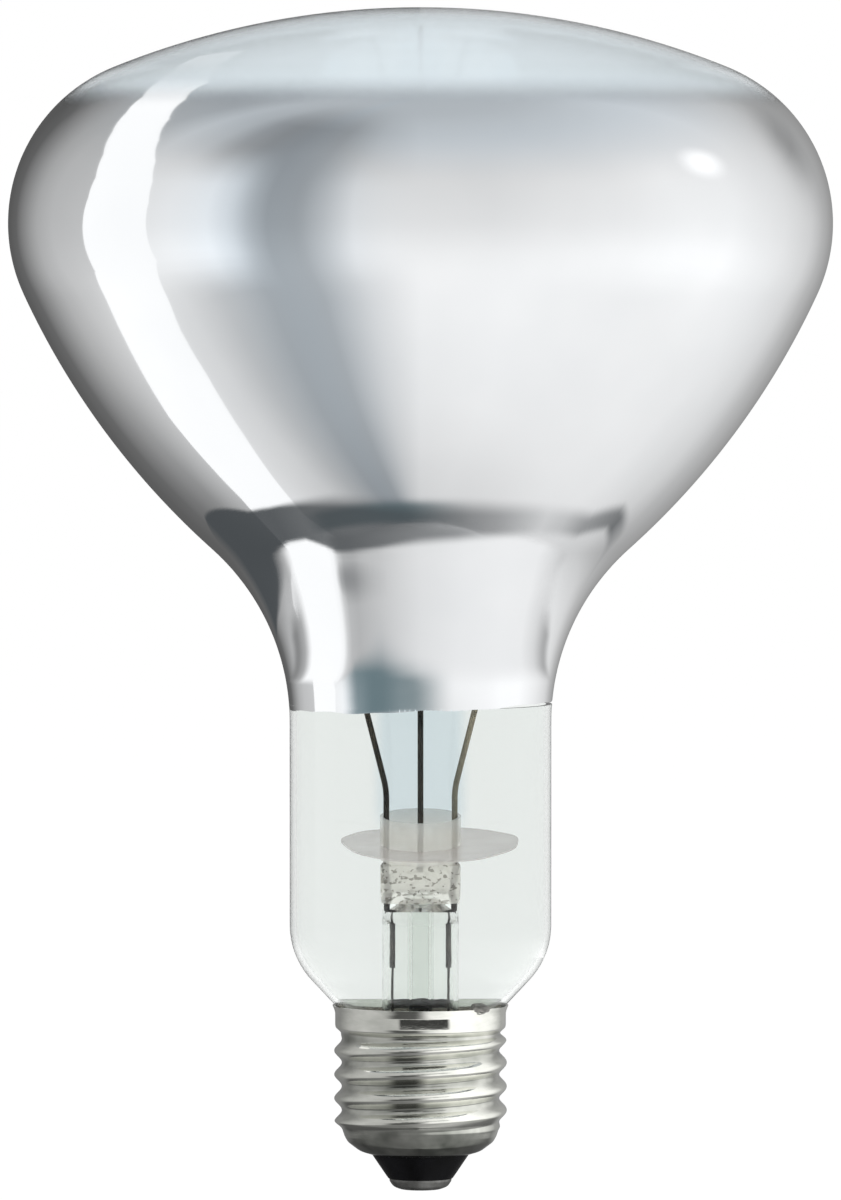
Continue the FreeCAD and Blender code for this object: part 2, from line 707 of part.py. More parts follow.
def make_stem():
    """Flared tube, pressed flat round the wires at its top, with the exhaust hole blown
    through the front of the press."""
    seal_inside = "(seal_radius - glass_wall)"
    flare = f"({seal_inside} - stem_radius)"
    tube = revolved_part("stem_tube", [
        ("stem_radius - stem_wall", "press_foot"),
        ("stem_radius - stem_wall", f"seal_height + {flare}", f"{flare} + stem_wall", 1),
        (seal_inside, "seal_height - stem_wall"),
        ("seal_radius", "seal_height - stem_wall"),
        ("seal_radius", "seal_height"),
        (seal_inside, "seal_height", flare, -1),
        ("stem_radius", f"seal_height + {flare}"),
        ("stem_radius", "press_foot"),
    ])
    sections = [
        ("stem_radius", "stem_radius", "press_foot"),
        ("press_width / 2", "press_thickness * 3 / 4", "press_waist"),
        ("press_width / 2", "press_thickness / 2", "press_shoulder"),
        ("press_width / 2", "press_thickness / 2", "press_top"),
    ]
    ovals = [shape("Ellipse", f"press_oval_{index}", MajorRadius=wide, MinorRadius=deep,
                   Placement__Base__z=up) for index, (wide, deep, up) in enumerate(sections)]
    press = doc.addObject("Part::Loft", "press")
    press.Sections = ovals
    press.Solid = True
    glass = joined("stem_glass", tube, press)

    mouth = shape("Cone", "press_mouth", Radius1="stem_radius - stem_wall",
                  Radius2="exhaust_radius", Height="(exhaust_seat - press_foot) * 2 / 3",
                  Placement__Base__z="press_foot")
    seat = shape("Cylinder", "exhaust_seat", Radius="exhaust_radius",
                 Height="exhaust_seat - press_foot", Placement__Base__z="press_foot")
    bore = shape("Cylinder", "exhaust_bore", Radius="exhaust_radius - exhaust_wall",
                 Height="exhaust_hole_height / 2", Placement__Base__z="exhaust_seat")
    outline = shape("Ellipse", "exhaust_hole_outline", MajorRadius="exhaust_hole_width / 2",
                    MinorRadius="exhaust_hole_height / 2",
                    Placement__Base__z="exhaust_seat + exhaust_hole_height / 2")
    outline.Placement.Rotation = Rotation(Vector(1, 0, 0), 90)
    hole = shape("Extrusion", "exhaust_hole", LengthFwd="stem_radius")
    hole.Base = outline
    hole.DirMode = "Custom"
    hole.Dir = Vector(0, -1, 0)
    hole.Solid = True
    wires = [doc.getObject(name) for name in ("press_wire_left", "press_wire_right",
                                              "centre_support")]
    cut_each("stem", glass, [mouth, seat, bore, hole, *wires])


def make_exhaust_tube():
    """Tube that the bulb was pumped through, its end melted shut."""
    inside = "(exhaust_radius - exhaust_wall)"
    part(revolved_part("exhaust_tube", [
        ("0", "exhaust_tip", "exhaust_radius", 1),
        ("exhaust_radius", "exhaust_tip + exhaust_radius"),
        ("exhaust_radius", "exhaust_seat"),
        (inside, "exhaust_seat"),
        (inside, "exhaust_tip + exhaust_radius", inside, -1),
        ("0", "exhaust_tip + exhaust_wall"),
    ]))


# Heat shield

def make_heat_shield():
    disc = part(body("heat_shield"))
    sheet_of_mica = sketch_on(disc, "XY_Plane", "outline")
    ring(sheet_of_mica, "shield_offset", "0", "shield_radius")
    ring(sheet_of_mica, "0", "0", "collar_radius + slip_clearance")
    pad = disc.newObject("PartDesign::Pad", "heat_shield_pad")
    pad.Profile = sheet_of_mica
    pad.setExpression("Length", tied("shield_thickness"))
    collar = part(revolved_part("heat_shield_collar", [
        ("collar_radius - collar_wall", "collar_lift - collar_height"),
        ("collar_radius", "collar_lift - collar_height"),
        ("collar_radius", "collar_lift"),
        ("collar_radius - collar_wall", "collar_lift"),
    ]))
    for made in (disc, collar):
        made.Placement = Placement(Vector(), Rotation(Vector(1, 0, 0), size("shield_tilt")))
        bind(made, Placement__Base__z="shield_height", Placement__Rotation__Angle="shield_tilt")


# Filament and its carrier

HOOK_LOOP = "(coil_radius + slip_clearance + hook_thickness / 2)"
HOOK_LEVEL = f"({FILAMENT_HEIGHT} - {HOOK_LOOP})"


def make_filament():
    made = part(body("filament"))
    section = ring(sketch_on(made, "XZ_Plane", "section"), "filament_ring", FILAMENT_HEIGHT,
                   "coil_radius")
    turned(made, section, angle=f"180 deg - 2 * {LEAD_AZIMUTH} + {CLAMP_ANGLE}")
    bind(made, Placement__Rotation__Angle=f"{LEAD_AZIMUTH} - {CLAMP_ANGLE} / 2")


def make_clamp(side, azimuth):
    """Crimped sleeve round one end of the filament, welded on top of its lead."""
    made = part(body("filament_clamp_" + side))
    section = ring(sketch_on(made, "XZ_Plane", "section"), "filament_ring", FILAMENT_HEIGHT,
                   CLAMP_RADIUS, "coil_radius + slip_clearance")
    turned(made, section, angle=CLAMP_ANGLE)
    bind(made, Placement__Rotation__Angle=f"{azimuth} - {CLAMP_ANGLE} / 2")


def make_hook(number):
    """Wire from the button out to the filament, curled round the coil."""
    made = part(body(f"filament_hook_{number}"))
    path = sketch_on(made, "XZ_Plane", "path")
    root = "button_radius - hook_depth"
    low = Vector(size("filament_ring"), size(HOOK_LEVEL), 0)
    centre = Vector(low.x, size(FILAMENT_HEIGHT), 0)
    end = centre - Vector(size(HOOK_LOOP), 0, 0)
    run = path.addGeometry(Part.LineSegment(Vector(size(root), low.y, 0), low))
    curl = path.addGeometry(arc_through(centre, size(HOOK_LOOP), low, end))
    pin(path, run, 1, root, HOOK_LEVEL)
    pin(path, curl, 3, "filament_ring", FILAMENT_HEIGHT)
    hold(path, "Tangent", run, 2, curl, 1)
    hold(path, "Radius", curl, value=HOOK_LOOP)
    hold(path, "DistanceY", -1, 1, curl, 2, value=FILAMENT_HEIGHT)
    section = ring(sketch_on(made, "YZ_Plane", "section", root), "0", HOOK_LEVEL,
                   "hook_thickness / 2")
    swept(made, section, path)
    share = f"{number} / {HOOKS + 1}"
    bind(made, Placement__Rotation__Angle=f"{LEAD_AZIMUTH} + (180 deg - 2 * {LEAD_AZIMUTH}) * {share}")
    return made


def make_support():
    """Centre rod from the press up into the glass button that holds the hooks."""
    rod = part(shape("Cylinder", "centre_support", Radius="support_thickness / 2",
                     Height=f"{HOOK_LEVEL} + button_height / 4 - support_root",
                     Placement__Base__z="support_root"))
    rod.Label = "centre_support"
    hooks = [make_hook(number + 1) for number in range(HOOKS)]
    low, high = f"{HOOK_LEVEL} - button_height / 2", f"{HOOK_LEVEL} + button_height / 2"
    flat_end = "button_radius - button_corner"
    bead = revolved_part("bead", [
        ("0", low),
        (flat_end, low, "button_corner", 1),
        ("button_radius", f"{low} + button_corner"),
        ("button_radius", f"{high} - button_corner", "button_corner", 1),
        (flat_end, high),
        ("0", high),
    ])
    cut_each("support_button", bead, [rod, *hooks])


make_envelope()
make_mirror()
make_shell()
make_cement()
make_tip()
make_side_solder()
for side, sign in (("left", -1), ("right", 1)):
    make_inner_lead(side, sign)
    make_press_wire(side, sign)
make_outer_leads()
make_support()
make_stem()
make_exhaust_tube()
make_heat_shield()
make_filament()
make_clamp("right", LEAD_AZIMUTH)
make_clamp("left", f"(180 deg - {LEAD_AZIMUTH})")
doc.recompute()

for item in doc.Objects:
    if {"Invalid", "Error"} & set(item.State):
        raise RuntimeError(f"{item.Label} failed: {item.State}")
for made in parts:
    if made.Shape.isNull() or not made.Shape.isValid():
        raise RuntimeError(f"{made.Label} has no valid shape")

os.makedirs("parts", exist_ok=True)
for made in parts:
    made.Shape.exportStep(f"parts/{made.Label}.step")
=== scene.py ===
"""Infrared heat lamp bulb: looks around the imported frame. Lengths below are in millimetres
and become metres where a mesh is made. Heights are counted from the tip of the contact."""

import math

import bpy
import numpy as np
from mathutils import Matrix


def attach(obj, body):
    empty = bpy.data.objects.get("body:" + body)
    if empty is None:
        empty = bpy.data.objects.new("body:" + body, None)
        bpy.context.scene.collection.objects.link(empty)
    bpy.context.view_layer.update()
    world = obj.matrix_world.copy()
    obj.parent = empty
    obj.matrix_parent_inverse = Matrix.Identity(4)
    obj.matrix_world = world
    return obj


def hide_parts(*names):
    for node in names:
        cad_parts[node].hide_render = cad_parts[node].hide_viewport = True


MM = 0.001
TURN = 2 * math.pi

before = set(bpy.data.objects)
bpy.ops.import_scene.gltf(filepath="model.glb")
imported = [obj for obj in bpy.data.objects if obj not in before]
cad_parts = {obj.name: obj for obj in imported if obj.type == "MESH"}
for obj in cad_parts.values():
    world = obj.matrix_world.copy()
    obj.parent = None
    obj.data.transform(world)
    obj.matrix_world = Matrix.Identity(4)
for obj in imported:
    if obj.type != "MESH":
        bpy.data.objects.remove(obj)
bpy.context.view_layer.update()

# Envelope, as the glass is blown
OVERALL_HEIGHT = 179.8
BULB_RADIUS = 62.6
EQUATOR_HEIGHT = 0.8176 * OVERALL_HEIGHT
RIM_RADIUS = 25.6
REFLECTOR_RADIUS = 118.6
THROAT_RADIUS = 35.4
THROAT_HEIGHT = 0.396 * OVERALL_HEIGHT
NECK_RADIUS = 19.9
SHOULDER_HEIGHT = 40.3
SHOULDER_RADIUS = 12.2
CONE_ANGLE = math.radians(47)
SEAL_RADIUS = 11.2
SEAL_HEIGHT = 17
GLASS_WALL = 0.9
MIRROR_FOOT = THROAT_HEIGHT + 2.8
MIRROR_TOP = EQUATOR_HEIGHT + 18
MIRROR_FILM = 0.15
FILM_FADE = 4

# Cap
THREAD_ROOT = 12
THREAD_CREST = 13.15
THREAD_PITCH = 3.629
THREAD_PHASE = 8.9
THREAD_FOOT = 9.4
THREAD_TOP = 23.9
SHELL_WALL = 0.3
SOLDER_AZIMUTH = math.radians(-46)


# Surfaces

def ramp(value, low, high):
    """Smooth step from 0 at low to 1 at high."""
    share = np.clip((value - low) / (high - low), 0, 1)
    return share * share * (3 - 2 * share)


def add_surface(name, rows, closed_rows=False, first_pole=False, last_pole=False,
                crease=40):
    """Mesh from a grid of points rows[i, j]: i runs along the piece and j round it.
    The columns close on themselves. The rows close too where closed_rows is set, and an
    end is shut with a fan to its middle where a pole is asked for."""
    count, around = rows.shape[:2]
    points = rows.reshape(-1, 3)
    index = np.arange(count * around).reshape(count, around)
    lower = index if closed_rows else index[:-1]
    upper = np.roll(index, -1, 0) if closed_rows else index[1:]
    quads = np.stack([lower, np.roll(lower, -1, 1), np.roll(upper, -1, 1), upper], -1)
    fans = []
    for wanted, ring, order in ((first_pole, 0, 1), (last_pole, -1, -1)):
        if wanted:
            edge = index[ring][::order]
            middle = np.full(around, len(points))
            points = np.vstack([points, rows[ring].mean(0)])
            fans.append(np.stack([np.roll(edge, -1), edge, middle], -1))
    faces = quads.reshape(-1, 4).tolist() + [f for fan in fans for f in fan.tolist()]
    mesh = bpy.data.meshes.new(name)
    mesh.from_pydata((points * MM).tolist(), [], faces)
    mesh.shade_smooth()
    mesh.set_sharp_from_angle(angle=math.radians(crease))
    piece = bpy.data.objects.new(name, mesh)
    bpy.context.scene.collection.objects.link(piece)
    return piece


def turned(profile, around=160):
    """Points of a profile (radius, height) carried round the lamp's axis: each column is
    the profile at the angle that its number gives."""
    angle = np.linspace(0, TURN, around, endpoint=False)
    radius, height = profile[:, :1], profile[:, 1:]
    return np.stack([radius * np.cos(angle), radius * np.sin(angle),
                     height + 0 * angle], -1)


def arc(centre, radius, start, end, count):
    """Points on a circle from angle start to angle end, in radians, ends included."""
    angle = np.linspace(start, end, count)
    return np.stack([centre[0] + radius * np.cos(angle),
                     centre[1] + radius * np.sin(angle)], -1)


def rounded(corners, steps=5):
    """Open outline through corners (radius, height, rounding). A corner with a rounding
    becomes an arc that touches both of its sides, or as much of it as they leave room."""
    spots = np.array([corner[:2] for corner in corners], float)
    parts = [spots[:1]]
    for before, spot, after, corner in zip(spots, spots[1:], spots[2:], corners[1:]):
        rounding = corner[2] if len(corner) > 2 else 0
        into, out = before - spot, after - spot
        into_length, out_length = np.hypot(*into), np.hypot(*out)
        into, out = into / into_length, out / out_length
        half = math.acos(float(np.clip(into @ out, -1, 1))) / 2
        if not rounding or half > math.radians(88):
            parts.append(spot[None])
            continue
        cut = min(rounding / math.tan(half), 0.48 * into_length, 0.48 * out_length)
        share = np.linspace(0, 1, steps)[:, None]
        start, end = spot + into * cut, spot + out * cut
        # A quadratic curve with its middle point on the corner runs close to the arc.
        parts.append((1 - share) ** 2 * start + 2 * share * (1 - share) * spot
                     + share ** 2 * end)
    parts.append(spots[-1:])
    return np.vstack(parts)


def bulb_side(inset):
    """Half outline (radius, height) of the blown glass from the seal up to the crown,
    moved inwards by inset: seal, cone, shoulder, neck, and four arcs that touch."""
    throat = np.array([NECK_RADIUS + THROAT_RADIUS, THROAT_HEIGHT])
    rim = np.array([BULB_RADIUS - RIM_RADIUS, EQUATOR_HEIGHT])
    throat_r, mirror_r = THROAT_RADIUS + inset, REFLECTOR_RADIUS - inset
    rim_r = RIM_RADIUS - inset
    low, high = throat_r + mirror_r, mirror_r - rim_r
    apart = rim - throat
    far = np.hypot(*apart)
    along = (low ** 2 - high ** 2 + far ** 2) / (2 * far)
    unit = apart / far
    reflector = (throat + unit * along
                 + np.array([-unit[1], unit[0]]) * math.sqrt(low ** 2 - along ** 2))
    out_low = math.atan2(*(throat - reflector)[::-1])
    out_high = math.atan2(*(rim - reflector)[::-1])
    climb = OVERALL_HEIGHT - inset - rim[1]
    crown_r = (rim[0] ** 2 + climb ** 2 - rim_r ** 2) / (2 * (climb - rim_r))
    crown = np.array([0, OVERALL_HEIGHT - inset - crown_r])
    out_crown = math.atan2(*(rim - crown)[::-1])
    shoulder = (NECK_RADIUS - SHOULDER_RADIUS, SHOULDER_HEIGHT)
    shoulder_r = SHOULDER_RADIUS - inset
    bend = arc(shoulder, shoulder_r, CONE_ANGLE - math.pi / 2, 0, 14)
    seal = SEAL_RADIUS - inset
    cone_foot = bend[0, 1] - (bend[0, 0] - seal) * math.tan(CONE_ANGLE)
    neck = np.linspace((NECK_RADIUS - inset, SHOULDER_HEIGHT),
                       (NECK_RADIUS - inset, THROAT_HEIGHT), 12)[1:-1]
    return np.vstack([
        [(seal, SEAL_HEIGHT)], [(seal, cone_foot)], bend, neck,
        arc(throat, throat_r, math.pi, out_low + math.pi, 26),
        arc(reflector, mirror_r, out_low, out_high, 44)[1:],
        arc(rim, rim_r, out_high, out_crown, 40)[1:],
        arc(crown, crown_r, out_crown, math.pi / 2, 24)[1:],
    ])


def wall_between(low, high, inset, count):
    """Stretch of the glass outline between two heights, at evenly spaced heights."""
    side = bulb_side(inset)
    height = np.linspace(low, high, count)
    return np.stack([np.interp(height, side[:, 1], side[:, 0]), height], -1)


# Materials

def new_material(name):
    """New material with its node tree and its shader."""
    made = bpy.data.materials.new(name)
    made.use_nodes = True
    tree = made.node_tree
    return made, tree, tree.nodes["Principled BSDF"]


def add_node(tree, kind, inputs=None, **settings):
    """New node with its settings. An input is a socket to link from, or a plain value."""
    made = tree.nodes.new("ShaderNode" + kind)
    for key, value in settings.items():
        setattr(made, key, value)
    for key, value in (inputs or {}).items():
        if isinstance(value, bpy.types.NodeSocket):
            tree.links.new(value, made.inputs[key])
        else:
            made.inputs[key].default_value = value
    return made


def combine(tree, operation, first, second=0.0):
    """One number from one or two, by an operation of the Math node."""
    return add_node(tree, "Math", {0: first, 1: second}, operation=operation).outputs[0]


def spot_on_lamp(tree):
    """Object coordinates, which are metres from the tip of the contact."""
    return add_node(tree, "TexCoord").outputs["Object"]


def split_spot(tree):
    """The three object coordinates: to the right, to the back and up."""
    return add_node(tree, "SeparateXYZ", {0: spot_on_lamp(tree)}).outputs


def axis_distance(tree):
    """Distance from the lamp's axis, in metres."""
    flat = add_node(tree, "VectorMath", {0: spot_on_lamp(tree), 1: (1, 1, 0)},
                    operation="MULTIPLY")
    return add_node(tree, "VectorMath", {0: flat.outputs[0]},
                    operation="LENGTH").outputs["Value"]


def noise(tree, scale, detail, stretch=(1, 1, 1)):
    """Noise in the object's coordinates, made finer along each axis by its stretch."""
    where = add_node(tree, "Mapping", {"Vector": spot_on_lamp(tree), "Scale": stretch})
    return add_node(tree, "TexNoise", {
        "Vector": where.outputs[0], "Scale": scale, "Detail": detail,
        "Roughness": 0.55}).outputs[0]


def spread(tree, value, low, high):
    """Value carried from the middle of a noise's range to low and high."""
    return add_node(tree, "MapRange", {
        "Value": value, "From Min": 0.3, "From Max": 0.7, "To Min": low,
        "To Max": high}).outputs[0]


def smooth(tree, value, start, end):
    """Smooth step of a value, from 0 at start to 1 at end."""
    return add_node(tree, "MapRange", {"Value": value, "From Min": start, "From Max": end},
                    interpolation_type="SMOOTHSTEP").outputs[0]


def blend_colours(tree, factor, first, second):
    """From the first colour to the second, as the factor goes from 0 to 1."""
    mixed = add_node(tree, "Mix", data_type="RGBA")
    tree.links.new(factor, mixed.inputs[0])
    for socket, colour in ((mixed.inputs[6], first), (mixed.inputs[7], second)):
        if isinstance(colour, bpy.types.NodeSocket):
            tree.links.new(colour, socket)
        else:
            socket.default_value = (*colour, 1)
    return mixed.outputs[2]


def relief(tree, shader, height, distance):
    """Raise the shaded surface by a height from 0 to 1 times a distance in metres."""
    bump = add_node(tree, "Bump", {"Height": height, "Strength": 1.0,
                                   "Distance": distance})
    tree.links.new(bump.outputs[0], shader.inputs["Normal"])


def glass(name, tint, bend, wave=0.00002, wave_scale=60, roughness=0.0):
    """Blown glass: clear, with the slow waves that blowing leaves. It bends light by
    its index."""
    made, tree, shader = new_material(name)
    shader.inputs["Base Color"].default_value = (*tint, 1)
    shader.inputs["Transmission Weight"].default_value = 1
    shader.inputs["Roughness"].default_value = roughness
    shader.inputs["IOR"].default_value = bend
    relief(tree, shader, noise(tree, wave_scale, 2), wave)
    return made


def neck_glass():
    """Clear glass, tinted faintly bluer on its front wall between the leads above the disc.
    """
    clear, bluish = (0.885, 0.905, 0.893), (0.70, 0.78, 0.81)
    made = glass("clear_glass", clear, 1.28)
    tree = made.node_tree
    right, back, up = split_spot(tree)
    aside = combine(tree, "ABSOLUTE", right)
    # Bluer tint on the front wall only, between the leads and above the disc.
    blue_patch = combine(tree, "MULTIPLY", smooth(tree, aside, 0.0078, 0.0050),
                    smooth(tree, up, 0.0545, 0.0595))
    blue_patch = combine(tree, "MULTIPLY", blue_patch, smooth(tree, back, 0.0, -0.005))
    tree.links.new(blend_colours(tree, blue_patch, clear, bluish),
                   tree.nodes["Principled BSDF"].inputs["Base Color"])
    return made


def pressed_glass():
    """Cream glass clouded by bubbles, with a few grey ones that lie deeper."""
    cream, grey = (1.0, 0.98, 0.92), (0.40, 0.38, 0.34)
    made = glass("pressed_glass", cream, 1.36, 0.0004, 520, 0.2)
    tree = made.node_tree
    shader = tree.nodes["Principled BSDF"]
    cloud = spread(tree, noise(tree, 900, 2, (1, 1, 1.6)), 0, 1)
    marks = smooth(tree, cloud, 0.62, 0.74)
    tree.links.new(blend_colours(tree, marks, cream, grey), shader.inputs["Base Color"])
    shader.inputs["Transmission Weight"].default_value = 0.5
    return made


def silvered_glass():
    """Glass with a bright film behind it: a mirror under a clear gloss coat. The film
    thins out at its upper edge, over the foot of the face."""
    made, tree, shader = new_material("silvered_glass")
    film = blend_colours(tree, spread(tree, noise(tree, 30, 3), 0, 1),
                         (0.80, 0.815, 0.83), (0.86, 0.87, 0.88))
    tree.links.new(film, shader.inputs["Base Color"])
    thin = add_node(tree, "MapRange", {
        "Value": split_spot(tree)["Z"], "From Min": (MIRROR_TOP - 1) * MM,
        "From Max": (MIRROR_TOP + FILM_FADE) * MM, "To Min": 1.0, "To Max": 0.0},
        interpolation_type="SMOOTHSTEP").outputs[0]
    tree.links.new(thin, shader.inputs["Alpha"])
    shader.inputs["Metallic"].default_value = 1
    tree.links.new(spread(tree, noise(tree, 45, 3), 0.03, 0.07), shader.inputs["Roughness"])
    shader.inputs["Coat Weight"].default_value = 1
    shader.inputs["Coat Roughness"].default_value = 0.01
    relief(tree, shader, noise(tree, 25, 1), 0.00003)
    return made


def metal(name, dark, light, rough, scale, stretch=(1, 1, 1), depth=0.00001):
    """Bare or plated metal whose colour drifts between two tones, with a fine relief."""
    made, tree, shader = new_material(name)
    mottle = noise(tree, scale, 5, stretch)
    tree.links.new(blend_colours(tree, spread(tree, mottle, 0, 1), dark, light),
                   shader.inputs["Base Color"])
    shader.inputs["Metallic"].default_value = 1
    tree.links.new(spread(tree, noise(tree, scale * 0.6, 3), rough[0], rough[1]),
                   shader.inputs["Roughness"])
    relief(tree, shader, mottle, depth)
    return made


def plated_shell():
    """Nickel plate, darker in patches towards the thread's roots than on its crests."""
    made, tree, shader = new_material("plated_shell")
    mottle = noise(tree, 260, 5, (1, 1, 3))
    plate = blend_colours(tree, spread(tree, mottle, 0, 1), (0.66, 0.67, 0.62),
                          (0.80, 0.80, 0.75))
    # Darker in patches the nearer the surface lies to the thread's roots, by its distance
    # from the axis.
    depth = add_node(tree, "MapRange", {
        "Value": axis_distance(tree), "From Min": 11.95 * MM, "From Max": 12.7 * MM,
        "To Min": 1, "To Max": 0}).outputs[0]
    patchy = combine(tree, "MULTIPLY", depth, spread(tree, noise(tree, 120, 3), 0.1, 1))
    root_darkened = blend_colours(tree, patchy, plate, (0.16, 0.17, 0.15))
    tree.links.new(root_darkened, shader.inputs["Base Color"])
    shader.inputs["Metallic"].default_value = 1
    tree.links.new(spread(tree, noise(tree, 180, 4, (1, 1, 5)), 0.04, 0.12),
                   shader.inputs["Roughness"])
    relief(tree, shader, noise(tree, 900, 3, (1, 1, 6)), 0.000005)
    return made


def solid(name, dark, light, rough, scale, depth, **extra):
    """Opaque or cloudy matter whose colour drifts between two tones."""
    made, tree, shader = new_material(name)
    mottle = noise(tree, scale, 5)
    tree.links.new(blend_colours(tree, spread(tree, mottle, 0, 1), dark, light),
                   shader.inputs["Base Color"])
    shader.inputs["Roughness"].default_value = rough
    for key, value in extra.items():
        shader.inputs[key.replace("_", " ")].default_value = value
    relief(tree, shader, mottle, depth)
    return made


CLEAR_GLASS = neck_glass()
FACE_GLASS = glass("face_glass", (0.85, 0.895, 0.918), 1.09, roughness=0.05)
STEM_GLASS = glass("stem_glass", (0.95, 0.965, 0.95), 1.32, 0.00006, 250)
PRESSED_GLASS = pressed_glass()
SILVERED = silvered_glass()
PLATE = plated_shell()
CEMENT = solid("cap_cement", (0.42, 0.37, 0.30), (0.62, 0.56, 0.47), 0.85, 900, 0.0002)
BLACK_GLASS = solid("black_glass", (0.001, 0.001, 0.001), (0.004, 0.004, 0.005), 0.2, 300,
                    0.00004, Specular_IOR_Level=0.1)
CONTACT = metal("contact_plate", (0.18, 0.18, 0.17), (0.34, 0.34, 0.33), (0.3, 0.5), 700)
SOLDER = metal("solder", (0.14, 0.14, 0.13), (0.34, 0.33, 0.31), (0.3, 0.5), 900,
               depth=0.00008)
NICKEL_WIRE = metal("nickel_wire", (0.002, 0.002, 0.003), (0.045, 0.035, 0.02), (0.25, 0.4),
                    320, (1, 1, 0.5))
# Lighter copy of the nickel wire for the right inner lead: its lightness is a painted
# reflection, not a different wire.
NICKEL_WIRE_PAINTED_LIT = metal("nickel_wire_painted_reflection", (0.012, 0.012, 0.010), (0.24, 0.21, 0.15), (0.25, 0.4),
                  240, (1, 1, 0.4))
SEAL_WIRE = metal("seal_wire", (0.003, 0.003, 0.003), (0.04, 0.03, 0.025), (0.35, 0.5), 600)
COPPER_WIRE = metal("copper_wire", (0.006, 0.006, 0.006), (0.10, 0.085, 0.075),
                    (0.4, 0.6), 500)
MICA = solid("mica", (0.60, 0.53, 0.51), (0.78, 0.72, 0.70), 0.3, 220, 0.00003,
             Alpha=0.42, Specular_IOR_Level=0.6)
COLLAR = solid("collar_mica", (0.90, 0.86, 0.80), (1.0, 0.98, 0.94), 0.4, 260, 0.00004,
               Alpha=0.42)
TUNGSTEN = metal("tungsten", (0.22, 0.22, 0.23), (0.38, 0.38, 0.39), (0.3, 0.45), 800)
MOLYBDENUM = metal("molybdenum", (0.34, 0.34, 0.34), (0.50, 0.50, 0.50), (0.25, 0.4), 700)


def dress(piece, material, node):
    """Give a new piece its material, hang it on the root body, and hide the frame's solid
    that it stands for.
    """
    piece.data.materials.append(material)
    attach(piece, "root")
    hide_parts(node)


def repaint(node, material):
    """Give a solid of the frame its material."""
    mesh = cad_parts[node].data
    mesh.materials.clear()
    mesh.materials.append(material)


# Glass envelope

def make_neck_glass():
    """Clear glass from the seal up to the film: outside wall up, inside wall down."""
    def side(inset):
        whole = bulb_side(inset)
        return np.vstack([whole[whole[:, 1] < MIRROR_FOOT],
                          wall_between(MIRROR_FOOT, MIRROR_FOOT, inset, 1)])
    loop = np.vstack([side(0), side(GLASS_WALL)[::-1]])
    neck = add_surface("neck_glass", turned(loop), closed_rows=True)
    dress(neck, CLEAR_GLASS, "glass_envelope")


def make_face_glass():
    """Clear domed face: outside up to the pole, and inside down from it. It lies a hair
    under the outside, so that the silvered bowl's edge fades out over it."""
    lap = 0.03
    def side(inset):
        whole = bulb_side(inset)
        low = MIRROR_TOP - FILM_FADE
        return np.vstack([wall_between(low, MIRROR_TOP, inset, 5),
                          whole[whole[:, 1] > MIRROR_TOP][:-1]])
    outer, inner = side(lap), side(GLASS_WALL)
    rows = turned(np.vstack([inner[::-1], outer]))
    face = add_surface("face_glass", rows, first_pole=True, last_pole=True)
    dress(face, FACE_GLASS, "glass_envelope")


def make_silvered_bowl():
    """Glass between its outer face and the film's bright inner face. The film's lower
    edge wanders: its height is one slow wave round the neck, which tilts it, with two
    small quick ones on it. The rows share out the height between the two edges."""
    around, count = 256, 120
    angle = np.linspace(0, TURN, around, endpoint=False)
    edge = MIRROR_FOOT + 0.35 * np.sin(angle + 0.4) + 0.5 * np.cos(angle)
    edge += 0.12 * np.sin(7 * angle) + 0.08 * np.sin(16 * angle + 1)
    share = np.linspace(0, 1, count)[:, None]
    height = edge + (MIRROR_TOP + FILM_FADE - edge) * share

    def skin(inset):
        side = bulb_side(inset)
        radius = np.interp(height, side[:, 1], side[:, 0])
        return np.stack([radius * np.cos(angle), radius * np.sin(angle), height], -1)
    rows = np.vstack([skin(0), skin(GLASS_WALL + MIRROR_FILM)[::-1]])
    bowl = add_surface("silvered_bowl", rows, closed_rows=True)
    dress(bowl, SILVERED, "mirror_coating")


# Cap

